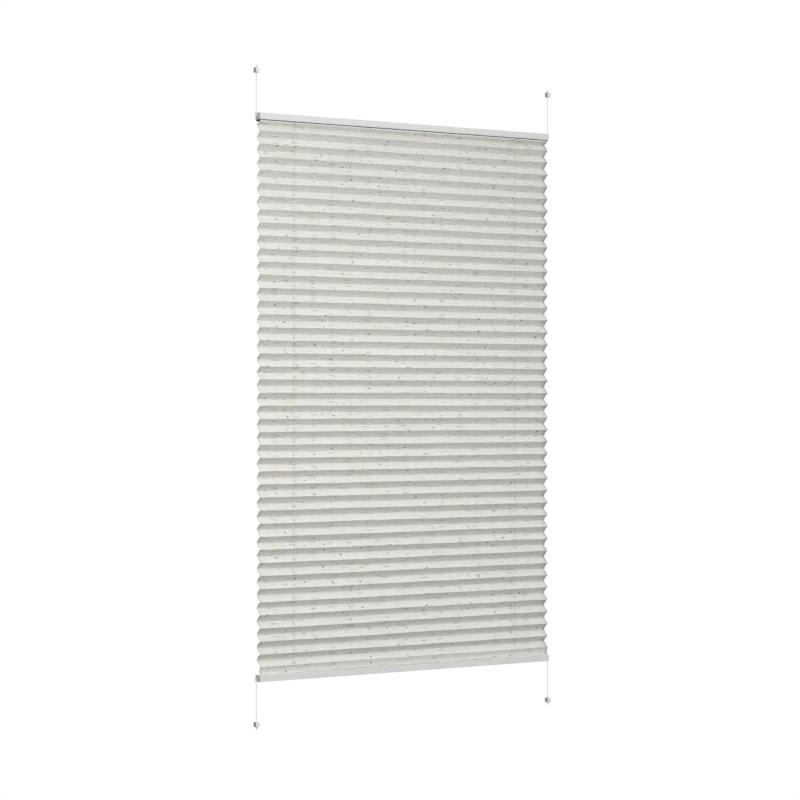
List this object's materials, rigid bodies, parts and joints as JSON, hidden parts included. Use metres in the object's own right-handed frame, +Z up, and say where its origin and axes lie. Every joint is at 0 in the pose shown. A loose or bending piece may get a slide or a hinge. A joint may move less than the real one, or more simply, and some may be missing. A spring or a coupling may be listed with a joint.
{
  "type": "pleated blind",
  "caption": "Tensioned pleated window blind: folded fabric between two slim rails that slide on taut cords held by small screw-on shoes.",
  "frame": {"origin": "midway between the two upper shoes' screws, on the plane that the upper shoes bear against", "axes": "+Z up along the cords, +X along the rails, front of the blind towards -Y"},
  "size_m": [0.8156, 0.018, 1.4454],
  "materials": {
    "rail_coating": "pale grey satin powder coat on an aluminium extrusion",
    "strip_plastic": "dark grey extruded plastic",
    "cap_plastic": "mid grey moulded plastic",
    "guide_plastic": "white moulded plastic",
    "cord_yarn": "pale grey braided polyester",
    "shoe_plastic": "mid grey moulded plastic",
    "cover_plastic": "white moulded plastic",
    "stop_plastic": "white moulded plastic",
    "screw_steel": "zinc-plated steel",
    "pleat_fabric": "off-white linen-look polyester with slubs, pressed into pleats"
  },
  "bodies": {
    "fixings": {"upper_left_shoe_bracket": "shoe_plastic", "upper_left_shoe_cover": "cover_plastic", "upper_left_cord_stop": "stop_plastic", "upper_left_cord_run": "cord_yarn", "upper_right_shoe_bracket": "shoe_plastic", "upper_right_shoe_cover": "cover_plastic", "upper_right_cord_stop": "stop_plastic", "upper_right_cord_run": "cord_yarn", "lower_left_shoe_bracket": "shoe_plastic", "lower_left_shoe_cover": "cover_plastic", "lower_left_cord_stop": "stop_plastic", "lower_left_cord_run": "cord_yarn", "lower_right_shoe_bracket": "shoe_plastic", "lower_right_shoe_cover": "cover_plastic", "lower_right_cord_stop": "stop_plastic", "lower_right_cord_run": "cord_yarn", "fixing_screws": "screw_steel", "pleated_fabric": "pleat_fabric", "middle_left_cord_run": "cord_yarn", "middle_right_cord_run": "cord_yarn"},
    "top_rail": {"top_rail": "rail_coating", "top_fabric_strip": "strip_plastic", "top_rail_left_end_cap": "cap_plastic", "top_rail_left_cord_guide": "guide_plastic", "top_rail_left_cord_run": "cord_yarn", "top_rail_right_end_cap": "cap_plastic", "top_rail_right_cord_guide": "guide_plastic", "top_rail_right_cord_run": "cord_yarn"},
    "bottom_rail": {"bottom_rail": "rail_coating", "bottom_fabric_strip": "strip_plastic", "bottom_rail_left_end_cap": "cap_plastic", "bottom_rail_left_cord_guide": "guide_plastic", "bottom_rail_left_cord_run": "cord_yarn", "bottom_rail_right_end_cap": "cap_plastic", "bottom_rail_right_cord_guide": "guide_plastic", "bottom_rail_right_cord_run": "cord_yarn"}
  },
  "joints": [
    {"name": "top_rail_slide", "type": "slide", "parent": "fixings", "child": "top_rail", "axis": [0, 0, 1], "range_m": [-0.56, 0], "deforming": ["pleated_fabric", "middle_left_cord_run", "middle_right_cord_run", "upper_left_cord_run", "upper_right_cord_run"]},
    {"name": "bottom_rail_slide", "type": "slide", "parent": "fixings", "child": "bottom_rail", "axis": [0, 0, 1], "range_m": [0, 0.56], "deforming": ["pleated_fabric", "middle_left_cord_run", "middle_right_cord_run", "lower_left_cord_run", "lower_right_cord_run"]}
  ]
}
